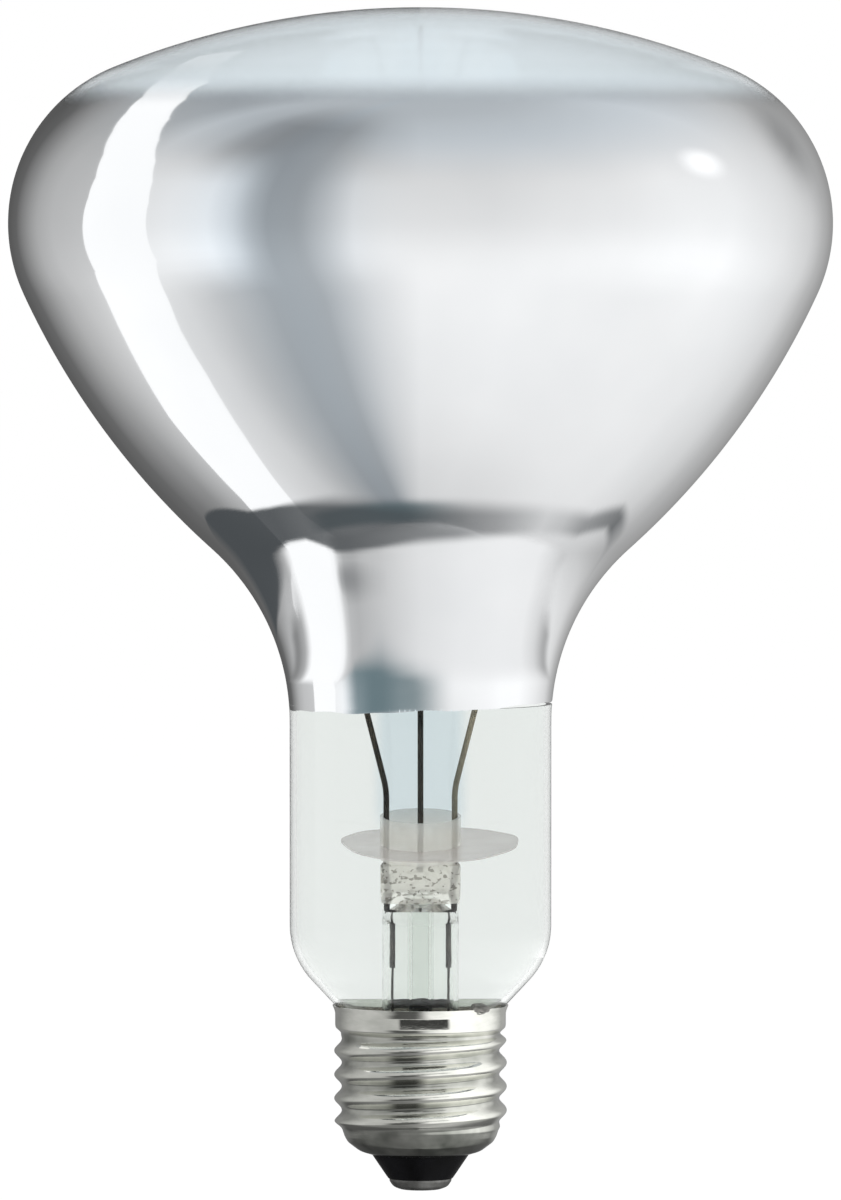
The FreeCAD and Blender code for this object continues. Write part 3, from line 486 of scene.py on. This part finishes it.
def make_screw_shell():
    """Rolled shell: radius = plain outline + ridge, where the ridge is a raised cosine of
    the height less the thread's climb round the cap, faded out at both ends. The notch
    for the solder lowers the rim by a bell curve of the angle."""
    around, stations, mouth, rim = 216, 228, 5.36, 28.1
    notch_depth, notch_width = 0.6, 0.055
    angle = np.linspace(0, TURN, around, endpoint=False)
    off_solder = np.angle(np.exp(1j * (angle - SOLDER_AZIMUTH)))
    notch = np.exp(-(off_solder / notch_width) ** 4)
    outline = rounded([
        (7.45, 5.35), (9.3, 5.9, 3), (11.15, 7.3, 3), (11.6, 8.2, 1), (11.95, 9.25, 0.5),
        (12, 9.5, 0.5), (12, 23.6, 0.5), (12.1, 23.95, 0.4), (12.95, 24.75, 0.5),
        (13, 25.2, 0.5), (13, 26.9, 0.4), (13.12, 27.4, 0.4), (13.4, rim),
    ])
    length = np.append(0, np.cumsum(np.hypot(*np.diff(outline, axis=0).T)))
    along = np.linspace(0, length[-1], stations)
    side = np.stack([np.interp(along, length, outline[:, axis]) for axis in (0, 1)], -1)

    def skin(inset):
        slope = np.gradient(side, axis=0)
        slope /= np.hypot(*slope.T)[:, None]
        moved = side + inset * np.stack([-slope[:, 1], slope[:, 0]], -1)
        radius, height = moved[:, :1], moved[:, 1:] + 0 * angle
        turn = (angle - SOLDER_AZIMUTH - math.pi / 2) / TURN
        phase = (height - THREAD_PHASE) / THREAD_PITCH - turn
        ridge = (0.5 + 0.5 * np.cos(TURN * phase)) * (THREAD_CREST - THREAD_ROOT)
        fade = ramp(height, THREAD_FOOT - 0.4, THREAD_FOOT + 1.2)
        fade = fade * (1 - ramp(height, THREAD_TOP - 1.3, THREAD_TOP + 0.3))
        radius = radius + ridge * fade
        height = height - notch * notch_depth * ramp(height, 27.2, rim)
        return np.stack([radius * np.cos(angle), radius * np.sin(angle), height], -1)
    inner = skin(SHELL_WALL)
    inner[..., 2] = np.clip(inner[..., 2], mouth, rim)
    rows = np.vstack([skin(0), inner[::-1]])
    shell = add_surface("rolled_shell", rows, closed_rows=True, crease=60)
    dress(shell, PLATE, "screw_shell")


def make_insulator():
    """Black glass plug, pressed with a soft edge at its tip and a step under the bell."""
    side = rounded([(0, 1.62), (4.6, 1.62), (4.9, 1.66, 0.25), (5.35, 2.3, 0.8),
                    (7.25, 5.1, 0.4), (7.42, 5.38), (7.42, 5.7), (11.2, 8.4), (11.2, 9),
                    (0, 9)], 6)
    plug = add_surface("black_insulator", turned(side[1:-1]), first_pole=True,
                       last_pole=True)
    dress(plug, BLACK_GLASS, "cap_insulator")


def make_contact():
    """Pressed contact disc with a turned-up edge, and the solder dot in its middle."""
    side = rounded([(0.9, 0.16, 0), (1.1, 0.0, 0.2), (3.0, 0.0, 1.6), (4.2, 0.45, 1.4),
                    (4.72, 1.3, 0.4), (4.75, 1.75), (4.4, 1.75), (0.9, 1.7)], 7)
    disc = add_surface("contact_disc", turned(side, 128), first_pole=True, last_pole=True)
    dress(disc, CONTACT, "centre_contact")
    dot = rounded([(0.02, 0.0), (0.75, 0.02, 0.3), (1.02, 0.3, 0.2), (1.02, 0.6),
                   (0.02, 0.6)], 6)
    drop = add_surface("contact_solder", turned(dot, 48), first_pole=True, last_pole=True)
    dress(drop, SOLDER, "centre_solder")


def make_side_solder():
    """Blob of solder over the rim: a flattened ball pushed in and out by a few sines."""
    rim, reach, flat_foot = 28.4, 12.75, -0.75
    polar = np.linspace(0.12, math.pi - 0.12, 28)[:, None]
    round_it = np.linspace(0, TURN, 44, endpoint=False)
    lump = (1 + 0.10 * np.sin(3 * round_it + 1) * np.sin(polar)
            + 0.07 * np.sin(5 * round_it + 2.6 * polar))
    across = 1.75 * lump * np.sin(polar) * np.cos(round_it)
    out = 0.85 * lump * np.sin(polar) * np.sin(round_it)
    up = 0.85 * lump * np.cos(polar) + 0 * round_it
    up = np.maximum(up, flat_foot) + rim
    out = out + reach - 0.75 * (up - rim)
    side, front = math.sin(SOLDER_AZIMUTH), math.cos(SOLDER_AZIMUTH)
    rows = np.stack([out * front - across * side, out * side + across * front, up], -1)
    blob = add_surface("rim_solder", rows, first_pole=True, last_pole=True, crease=80)
    blob.data.flip_normals()
    dress(blob, SOLDER, "side_solder")


# Stem

def flattened(width, depth, power, angle):
    """Superellipse of half width and half depth: power 2 is an ellipse, more is boxier."""
    cos, sin = np.cos(angle), np.sin(angle)
    ways = (np.abs(cos) / width) ** power + (np.abs(sin) / depth) ** power
    reach = ways ** (-1 / power)
    return reach * cos, reach * sin


def tube_skin(stops, around=96):
    """One row round the axis for each stop (height, half width, half depth, power)."""
    angle = np.linspace(0, TURN, around, endpoint=False)
    height, width, depth, power = np.moveaxis(stops[:, :, None], 1, 0)
    across, along = flattened(width, depth, power, angle)
    return np.stack([across, along, height + 0 * angle], -1)


def eased(stops, count):
    """Finer list of stops, with a smooth step from each of the given ones to the next."""
    stops = np.array(stops, float)
    fine = np.linspace(0, len(stops) - 1, count)
    base = np.clip(fine.astype(int), 0, len(stops) - 2)
    share = fine - base
    share = share * share * (3 - 2 * share)
    return stops[base] * (1 - share)[:, None] + stops[base + 1] * share[:, None]


def make_stem():
    """Flared tube, closed above by the flat press. The bore ends in a round under it.
    Above its foot the press has its own glass."""
    press_foot = 43.7
    outside = eased([
        (17, 10.3, 10.3, 2), (18.4, 8.4, 8.4, 2), (21, 6.6, 6.6, 2), (25, 5.9, 5.9, 2),
        (32, 5.8, 5.8, 2), (41.5, 5.8, 5.8, 2), (43.6, 5.95, 4.6, 2.2),
        (45.4, 6.1, 2.5, 3.2), (47, 6.1, 2.2, 4.5), (49.4, 6.1, 2.2, 5),
        (49.9, 5.7, 1.9, 5), (50, 5.2, 1.5, 5)], 110)
    inside = eased([
        (17, 9.5, 9.5, 2), (18.7, 7.6, 7.6, 2), (21.4, 5.8, 5.8, 2), (25.2, 5.1, 5.1, 2),
        (32, 5, 5, 2), (40.5, 5, 5, 2), (42.3, 4.4, 3.6, 2), (43.2, 3, 2, 2),
        (43.5, 0.8, 0.6, 2)], 80)
    rows = np.vstack([tube_skin(inside)[::-1], tube_skin(outside)])
    stem = add_surface("glass_stem", rows, first_pole=True, last_pole=True)
    dress(stem, STEM_GLASS, "stem")
    stem.data.materials.append(PRESSED_GLASS)
    centres = np.zeros(len(stem.data.polygons) * 3)
    stem.data.polygons.foreach_get("center", centres)
    pressed = (centres.reshape(-1, 3)[:, 2] > press_foot * MM).astype(np.int32)
    stem.data.polygons.foreach_set("material_index", pressed)


def make_heat_shield():
    """Mica disc, tilted and a little warped: its height bends with the square of x."""
    radius, offset, bore, half = 13.5, 1.5, 0.458, 0.1
    tilt, centre = math.radians(8), np.array([offset, 0, 52.6])
    share = np.linspace(bore, 1, 26)[:, None]
    angle = np.linspace(0, TURN, 120, endpoint=False)
    trim = 1 - 0.012 * np.cos(9 * angle + 0.7) * ramp(share, 0.7, 1)
    flat_x = radius * share * trim * np.cos(angle)
    flat_y = radius * share * trim * np.sin(angle)
    # The hole is round the collar, which stands on the lamp's axis.
    flat_x = flat_x - offset * (1 - ramp(share, bore, 0.9))

    def face(lift):
        up = lift + 0.0025 * flat_x ** 2 * ramp(np.abs(flat_x), 6, 13)
        return np.stack([flat_x, flat_y * math.cos(tilt) - up * math.sin(tilt),
                         flat_y * math.sin(tilt) + up * math.cos(tilt)], -1) + centre
    rows = np.vstack([face(half), face(-half)[::-1]])
    disc = add_surface("mica_disc", rows, closed_rows=True)
    dress(disc, MICA, "heat_shield")


def make_filament():
    """Coil of fine wire: a helix wound on a circle, which stands open towards the front."""
    ring, level, coil, wire, turns, opening = 18, 98, 0.68, 0.11, 118, 52
    open_from = math.radians(-90 + opening)
    sweep = TURN - 2 * math.radians(opening)
    count = turns * 12
    share = np.linspace(0, 1, count)
    along = open_from + sweep * share
    wound = TURN * turns * share
    radial = np.stack([np.cos(along), np.sin(along), 0 * along], -1)
    up = np.array([0, 0, 1.0])
    out = radial * np.cos(wound)[:, None] + up * np.sin(wound)[:, None]
    middle = radial * ring + up * level + out * coil
    run = np.gradient(middle, axis=0)
    run /= np.linalg.norm(run, axis=1)[:, None]
    aside = np.cross(run, out)
    angle = np.linspace(0, TURN, 6, endpoint=False)[None, :, None]
    rows = middle[:, None] + wire * (out[:, None] * np.cos(angle)
                                     + aside[:, None] * np.sin(angle))
    coiled = add_surface("coiled_filament", rows, first_pole=True, last_pole=True)
    dress(coiled, TUNGSTEN, "filament")


make_neck_glass()
make_face_glass()
make_silvered_bowl()
make_screw_shell()
make_insulator()
make_contact()
make_side_solder()
make_stem()
make_heat_shield()
make_filament()

for node, material in {
    "cap_cement": CEMENT, "exhaust_tube": STEM_GLASS, "support_button": STEM_GLASS,
    # The right inner lead takes the lighter copy of the nickel wire, which paints a
    # reflection on it.
    "inner_lead_left": NICKEL_WIRE, "inner_lead_right": NICKEL_WIRE_PAINTED_LIT,
    "press_wire_left": SEAL_WIRE, "press_wire_right": SEAL_WIRE,
    "outer_lead_left": COPPER_WIRE, "outer_lead_right": COPPER_WIRE,
    "centre_support": NICKEL_WIRE, "heat_shield_collar": COLLAR,
    "filament_clamp_left": NICKEL_WIRE, "filament_clamp_right": NICKEL_WIRE,
    **{f"filament_hook_{number}": MOLYBDENUM for number in range(1, 6)},
}.items():
    repaint(node, material)


# Studio

FLOOR = -0.3
CEILING = 1.6
LAMP_MIDDLE = 0.1
FLOOR_PAPER = 0.93
ROOM_LIGHT = 0.55
STRIP_TONE = 1.16


def look_at(thing, spot):
    """Turn a lamp or the camera, which look down their own axis, towards a spot."""
    aim = np.array(spot) - np.array(thing.location)
    flat = math.hypot(aim[0], aim[1])
    thing.rotation_euler = (math.atan2(flat, -aim[2]), 0, math.atan2(-aim[0], aim[1]))


def is_looked_at(tree):
    """1 for rays that look, straight, in a mirror or through glass, and 0 for the rest."""
    path = add_node(tree, "LightPath").outputs
    seen = combine(tree, "MAXIMUM", path["Is Camera Ray"], path["Is Glossy Ray"])
    return combine(tree, "MAXIMUM", seen, path["Is Transmission Ray"])


def add_floor():
    """Pale floor well below the lamp, which hangs clear of it as in its holder. Looked at,
    it glows by as much as the room's soft light leaves it short of white. From below it
    is clear."""
    mesh = bpy.data.meshes.new("floor")
    reach = 30
    mesh.from_pydata([(-reach, -reach, FLOOR), (reach, -reach, FLOOR),
                      (reach, reach, FLOOR), (-reach, reach, FLOOR)], [], [(0, 1, 2, 3)])
    floor = bpy.data.objects.new("floor", mesh)
    bpy.context.scene.collection.objects.link(floor)
    made, tree, shader = new_material("floor_paper")
    shader.inputs["Base Color"].default_value = (FLOOR_PAPER, FLOOR_PAPER, FLOOR_PAPER, 1)
    shader.inputs["Roughness"].default_value = 0.9
    shader.inputs["Specular IOR Level"].default_value = 0
    shader.inputs["Emission Color"].default_value = (1, 1, 1, 1)
    glow = add_node(tree, "MapRange", {"Value": is_looked_at(tree), "To Min": 0.0,
                                       "To Max": 1 - FLOOR_PAPER * ROOM_LIGHT}).outputs[0]
    tree.links.new(glow, shader.inputs["Emission Strength"])
    below = add_node(tree, "NewGeometry").outputs["Backfacing"]
    tree.links.new(combine(tree, "SUBTRACT", 1.0, below), shader.inputs["Alpha"])
    mesh.materials.append(made)


def sector(middle, width, path, count=25):
    """Grid of points: a path (distance, height) in metres, carried round the lamp over
    width degrees about a middle that is counted from the camera to its left."""
    azimuth = np.radians(middle + np.linspace(-0.5, 0.5, count) * width)[:, None]
    reach, height = np.array(path, float).T
    return np.stack([-reach * np.sin(azimuth), -reach * np.cos(azimuth),
                     height + 0 * azimuth], -1)


def between(first, second, level):
    """Level grid of points between two edges, each a list of (x, y) in metres."""
    share = np.linspace(0, 1, 5)[:, None, None]
    flat = np.array(first, float) * (1 - share) + np.array(second, float) * share
    return np.concatenate([flat, np.full((*flat.shape[:2], 1), level)], -1)


def directions(grid):
    """Azimuth, from the camera to its left, and elevation of a grid's points, in degrees,
    as they lie from the lamp's middle."""
    x, y, z = np.moveaxis(grid, -1, 0)
    return (np.degrees(np.arctan2(-x, -y)),
            np.degrees(np.arctan2(z - LAMP_MIDDLE, np.hypot(x, y))))


def add_panel(name, grid, tone, cover=1.0):
    """Glowing sheet that only reflections see, through a grid of points in metres. Each
    point has its tone, and a cover that runs from 0, where the sheet is clear, to 1."""
    across, along = grid.shape[:2]
    index = np.arange(across * along).reshape(across, along)
    faces = np.stack([index[:-1, :-1], index[1:, :-1], index[1:, 1:], index[:-1, 1:]], -1)
    mesh = bpy.data.meshes.new(name)
    mesh.from_pydata(grid.reshape(-1, 3).tolist(), [], faces.reshape(-1, 4).tolist())
    paint = np.ones((across, along, 4), np.float32)
    paint[..., :3] = tone
    mesh.attributes.new("tone", "FLOAT_COLOR", "POINT").data.foreach_set("color",
                                                                       paint.ravel())
    share = np.zeros((across, along), np.float32) + cover
    mesh.attributes.new("cover", "FLOAT", "POINT").data.foreach_set(
        "value", share.ravel().astype(np.float32))
    made = bpy.data.materials.new(name)
    made.use_nodes = True
    tree = made.node_tree
    tree.nodes.clear()
    colour = add_node(tree, "Attribute", attribute_name="tone").outputs["Color"]
    glow = add_node(tree, "Emission", {"Color": colour, "Strength": 1.0})
    clear = add_node(tree, "BsdfTransparent")
    mixed = add_node(tree, "MixShader", {
        0: add_node(tree, "Attribute", attribute_name="cover").outputs["Fac"],
        1: clear.outputs[0], 2: glow.outputs[0]})
    output = add_node(tree, "OutputMaterial")
    tree.links.new(mixed.outputs[0], output.inputs[0])
    mesh.materials.append(made)
    panel = bpy.data.objects.new(name, mesh)
    bpy.context.scene.collection.objects.link(panel)
    panel.visible_camera = False
    panel.visible_diffuse = False
    panel.visible_transmission = False
    panel.visible_volume_scatter = False
    panel.visible_shadow = False


def add_lamp(name, place_at, size, watts):
    """Square soft light on matter, which reflections don't see."""
    light = bpy.data.lights.new(name, "AREA")
    light.shape = "SQUARE"
    light.size = size
    light.energy = watts
    lamp = bpy.data.objects.new(name, light)
    lamp.location = place_at
    lamp.visible_glossy = False
    lamp.visible_transmission = False
    look_at(lamp, (0, 0, 0.09))
    bpy.context.scene.collection.objects.link(lamp)


def light_world():
    """Even white room: full white where it is looked at, softer as light on matter."""
    world = bpy.data.worlds.new("studio_white")
    bpy.context.scene.world = world
    world.use_nodes = True
    tree = world.node_tree
    strength = add_node(tree, "MapRange", {"Value": is_looked_at(tree),
                                           "To Min": ROOM_LIGHT, "To Max": 1.0})
    background = tree.nodes["Background"]
    background.inputs["Color"].default_value = (1, 1, 1, 1)
    tree.links.new(strength.outputs[0], background.inputs["Strength"])


def add_camera():
    """Long lens two degrees above the lamp's middle, framed as the photograph is."""
    pixels_per_mm, picture_height = 6.576, 1200
    foot_line, distance, sensor = 1190.5, 1.5, 36
    frame_height = picture_height / pixels_per_mm * MM
    centre = (foot_line - picture_height / 2) / pixels_per_mm * MM
    rise = math.radians(2)
    data = bpy.data.cameras.new("camera")
    data.sensor_width = sensor
    data.lens = distance * sensor / frame_height
    camera = bpy.data.objects.new("camera", data)
    camera.location = (0, -distance * math.cos(rise), centre + distance * math.sin(rise))
    look_at(camera, (0, 0, centre))
    bpy.context.scene.collection.objects.link(camera)
    bpy.context.scene.camera = camera


def add_room():
    """Round room as reflections see it. Its tone is a level that depends on the elevation
    times a share that depends on the azimuth: one share holds low down, one beside the
    lamp and one overhead. The air is cooler in front on the left, and overhead."""
    floor = [(reach, FLOOR + 0.002) for reach in (0.001, 0.04, 0.08, 0.12, 0.17, 0.23, 0.3,
                                                  0.4, 0.55, 0.75, 1.0)]
    wall = [(1.3, height) for height in np.linspace(FLOOR + 0.002, CEILING, 17)]
    ceiling = [(reach, CEILING) for reach in (1.05, 0.85, 0.7, 0.55, 0.42, 0.3, 0.2, 0.1,
                                              0.001)]
    grid = sector(0, 360, floor + wall + ceiling, 181)
    azimuth, elevation = directions(grid)
    level = np.interp(elevation, [
        -90, -75, -60, -48, -30, -20, -8, 0, 10, 30, 45, 60, 75, 90], [
        0.68, 0.78, 0.94, 1.01, 1.03, 1.0, 0.93, 0.87, 0.84, 0.79, 0.74, 0.65, 0.60, 0.60])
    below = np.interp(azimuth, [
        -180, -165, -150, -140, -128, -115, -95, -30, 0, 15, 32, 50, 66, 80, 92, 104, 121,
        127, 134, 145, 160, 180], [
        0.20, 0.26, 0.46, 0.66, 0.80, 0.90, 0.96, 1.04, 1.0, 0.80, 0.48, 0.45, 0.59, 0.77,
        0.84, 0.93, 0.58, 0.46, 0.30, 0.16, 0.11, 0.11])
    beside = np.interp(azimuth, [
        -180, -170, -160, -150, -138, -120, -95, -75, -60, -20, 8, 18, 26, 33, 42, 47, 53,
        60, 72, 84, 106, 122, 132, 142, 152, 162, 180], [
        0.28, 0.34, 0.42, 0.55, 0.80, 1.0, 1.22, 1.22, 1.14, 1.01, 0.99, 0.96, 0.68, 0.48,
        0.47, 0.62, 0.96, 1.15, 1.14, 1.06, 0.70, 0.64, 0.52, 0.32, 0.15, 0.12, 0.11])
    overhead = np.interp(azimuth, [
        -180, -168, -150, -133, -110, -60, 0, 15, 30, 45, 55, 65, 75, 90, 105, 125, 150,
        166, 180], [
        1.15, 1.10, 0.66, 0.84, 1.06, 1.0, 0.95, 0.80, 0.53, 0.44, 0.43, 0.52, 0.76, 0.88,
        0.66, 0.60, 0.62, 1.0, 1.15])
    overhead = overhead + (0.90 - overhead) * ramp(elevation, 58, 82)
    low, high = ramp(-elevation, 12, 40), ramp(elevation, 20, 48)
    tone = level * (below * low + beside * (1 - low - high) + overhead * high)
    tone = tone * (1 - 0.45 * np.exp(-((azimuth + 141) / 11) ** 2
                                     - ((elevation - 20) / 9) ** 2))
    cool = np.maximum(np.exp(-((azimuth - 42) / 22) ** 2), 0.8 * ramp(elevation, 25, 60))
    tint = 1 + cool[..., None] * np.array([-0.08, 0.0, 0.07])
    add_panel("round_room", grid, tone[..., None] * tint)


def add_strip_light():
    """Tall light on the left that leans over backwards at its top, and its streak along
    the floor towards the lamp. Its edges are stops (azimuth, elevation), and the ribbon
    between them stands at one distance, or nearer where it would rise too high."""
    right = np.array([(80, -17.5), (80, 12), (82, 22), (87, 31), (97, 40), (110, 47),
                      (128, 51), (147, 50), (162, 42), (171, 31)], float)
    left = np.array([(107, -17.5), (105, 12), (106, 20), (111, 28), (120, 34.5), (130, 39),
                     (141, 41), (153, 39), (163, 34), (170, 27)], float)
    stop, fine = np.arange(len(right)), np.linspace(0, len(right) - 1, 73)
    edges = [np.stack([np.interp(fine, stop, edge[:, axis]) for axis in (0, 1)], -1)
             for edge in (right, left)]
    share = np.linspace(0, 1, 17)[:, None, None]
    azimuth, elevation = np.radians(np.moveaxis(edges[0] * (1 - share) + edges[1] * share,
                                                -1, 0))
    distance, highest = 1.25, 1.4
    upright = distance * np.stack([-np.sin(azimuth), -np.cos(azimuth),
                                   np.tan(elevation)], -1)
    upright /= np.maximum(1, np.abs(upright[..., 2:]) / highest)
    upright[..., 2] += LAMP_MIDDLE
    add_panel("strip_light", upright, STRIP_TONE, 1 - 0.35 * ramp(fine, 40, 72))
    back = [(-1.30, 0.40), (-0.656, 0.285), (-0.486, 0.262), (-0.381, 0.22),
            (-0.32, 0.20), (-0.27, 0.20), (-0.22, 0.21)]
    front = [(-1.33, -0.235), (-0.543, -0.02), (-0.437, -0.011), (-0.333, 0.015),
             (-0.263, 0.04), (-0.204, 0.058), (-0.13, 0.05)]
    add_panel("strip_on_floor", between(back, front, FLOOR + 0.006), STRIP_TONE)


def near_ring(first, last, height):
    """Level ring about the axis between two radii, all in millimetres, with the azimuth
    and the radius of its points."""
    path = [(radius * MM, height * MM) for radius in np.arange(first, last + 0.1, 0.5)]
    grid = sector(0, 360, path, 145)
    return grid, directions(grid)[0], np.hypot(grid[..., 0], grid[..., 1]) / MM


def add_near_shades():
    """Rings close under the reflector and round the neck, as a holder's edge would show.
    The reflector's steep underside mirrors the dark one, which thins out to the right.
    The throat mirrors a bright one inside it, and a shade in front. A ring covers
    between an inner and an outer radius, with a soft edge at each."""
    grid, azimuth, radius = near_ring(29, 58, 80)
    outer = np.interp(azimuth, [
        -110, -90, -72, -50, -31, 0, 15, 31, 60, 72, 90, 110], [
        51, 50.5, 43.6, 42, 41, 40.6, 41.2, 42.8, 43.6, 44.6, 50, 56])
    outer_soft = np.interp(azimuth, [-60, 0, 30, 55], [2.2, 2.8, 2.4, 0.6])
    inner = np.interp(azimuth, [
        -110, -90, -72, -50, -31, -15, 0, 10, 17, 31, 37, 43, 50, 60, 72], [
        44, 44, 38, 36, 34.2, 33, 32.2, 31.5, 31.0, 30.6, 30.8, 32.7, 34.6, 34.8, 34])
    inner_soft = np.interp(azimuth, [-60, 0, 15, 45], [1.6, 1.4, 0.8, 0.6])
    depth = np.interp(azimuth, [
        -115, -95, -72, -60, -50, -31, -15, 0, 15, 31, 50, 60, 110, 125], [
        0, 0.8, 0.6, 0.3, 0.2, 0.55, 0.72, 0.77, 0.82, 0.87, 0.93, 0.96, 0.96, 0])
    cover = depth * ramp(-radius, -outer - outer_soft, -outer + outer_soft)
    cover = cover * ramp(radius, inner - inner_soft, inner + inner_soft)
    add_panel("collar_shade", grid, (0.072, 0.08, 0.086), cover)

    grid, azimuth, radius = near_ring(20, 37, 77)
    tone = np.interp(azimuth, [
        -95, -82, -72, -60, -44, -21, 0, 10, 21, 33, 39, 43, 68, 74, 82, 95], [
        0.3, 0.5, 0.8, 0.98, 1.0, 0.97, 0.88, 0.78, 0.66, 0.54, 0.60, STRIP_TONE,
        STRIP_TONE, 0.5, 0.3, 0.2])
    foot = np.interp(azimuth, [-60, -20, 0, 21, 36, 42], [21, 21, 22, 25, 25, 21])
    cover = ramp(radius, foot, foot + np.interp(azimuth, [0, 21, 38], [7, 6.5, 3]))
    cover = cover * ramp(-radius, -36, -33.5) * ramp(-np.abs(azimuth), -95, -84)
    add_panel("throat_card", grid, tone[..., None], cover)

    grid, azimuth, radius = near_ring(35.5, 43.5, 70)
    cover = ramp(radius, 35.5, 38) * ramp(-radius, -43.5, -40.5)
    cover = cover * ramp(azimuth, -24, 6) * ramp(-azimuth, -56, -42)
    add_panel("neck_shade", grid, (0.12, 0.19, 0.21), 0.85 * cover)


def add_cap_shade():
    """Card bent round the cap, with a rim above and a base below. It is dark in front with
    a slot level with the skirt, bright on the right, dimmer on the left, and dark low
    down, where the bell and the plug mirror it."""
    base = [(radius * MM, -0.042) for radius in (0.5, 12, 24, 35.5)]
    side = [(0.036, height * MM) for height in np.arange(-42, 34.1, 0.5)]
    rim = [(radius * MM, 0.0341) for radius in (35, 31, 27, 21)]
    grid = sector(0, 360, base + side + rim, 181)
    azimuth, height = directions(grid)[0], grid[..., 2] / MM
    tone = np.interp(azimuth, [
        -180, -120, -95, -60, -36, -12, 4, 24, 44, 70, 95, 120, 180], [
        0.25, 0.5, 1.2, 1.55, 1.4, 1.1, 0.8, 0.6, 0.56, 0.64, 0.52, 0.3, 0.2])
    tone = tone * (1 - 0.62 * ramp(-height, -2, 8))
    blot = (ramp(azimuth, -14, 8) * ramp(-azimuth, -46, -28) * ramp(height, -8, 2)
            * ramp(-height, -21.5, -18))
    slot = (ramp(azimuth, -34, -30) * ramp(-azimuth, -25, -22) * ramp(height, 22.8, 23.2)
            * ramp(-height, -27.4, -27))
    tone = tone + (0.06 - tone) * np.maximum(0.92 * blot, slot)
    add_panel("cap_shade", grid, tone[..., None])


def add_window():
    """Soft window high on the right: a round patch that fades to its edge."""
    patch = sector(-93, 24, [(1.2, height) for height in np.linspace(0.5, 1.1, 21)], 21)
    azimuth, elevation = directions(patch)
    off = np.hypot((azimuth + 93) / 11, (elevation - 29) / 9)
    add_panel("window_light", patch, 1.3, 1 - ramp(off, 0.1, 1))


add_floor()
light_world()
add_camera()
add_room()
add_strip_light()
add_near_shades()
add_cap_shade()
add_window()
add_lamp("key_light", (0.9, -1.1, 0.9), 1.0, 14)
add_lamp("fill_light", (-1.2, -0.8, 0.5), 1.2, 8)
add_lamp("top_light", (0.1, 0.2, 1.5), 1.2, 8)

bpy.context.scene.view_settings.view_transform = "Standard"
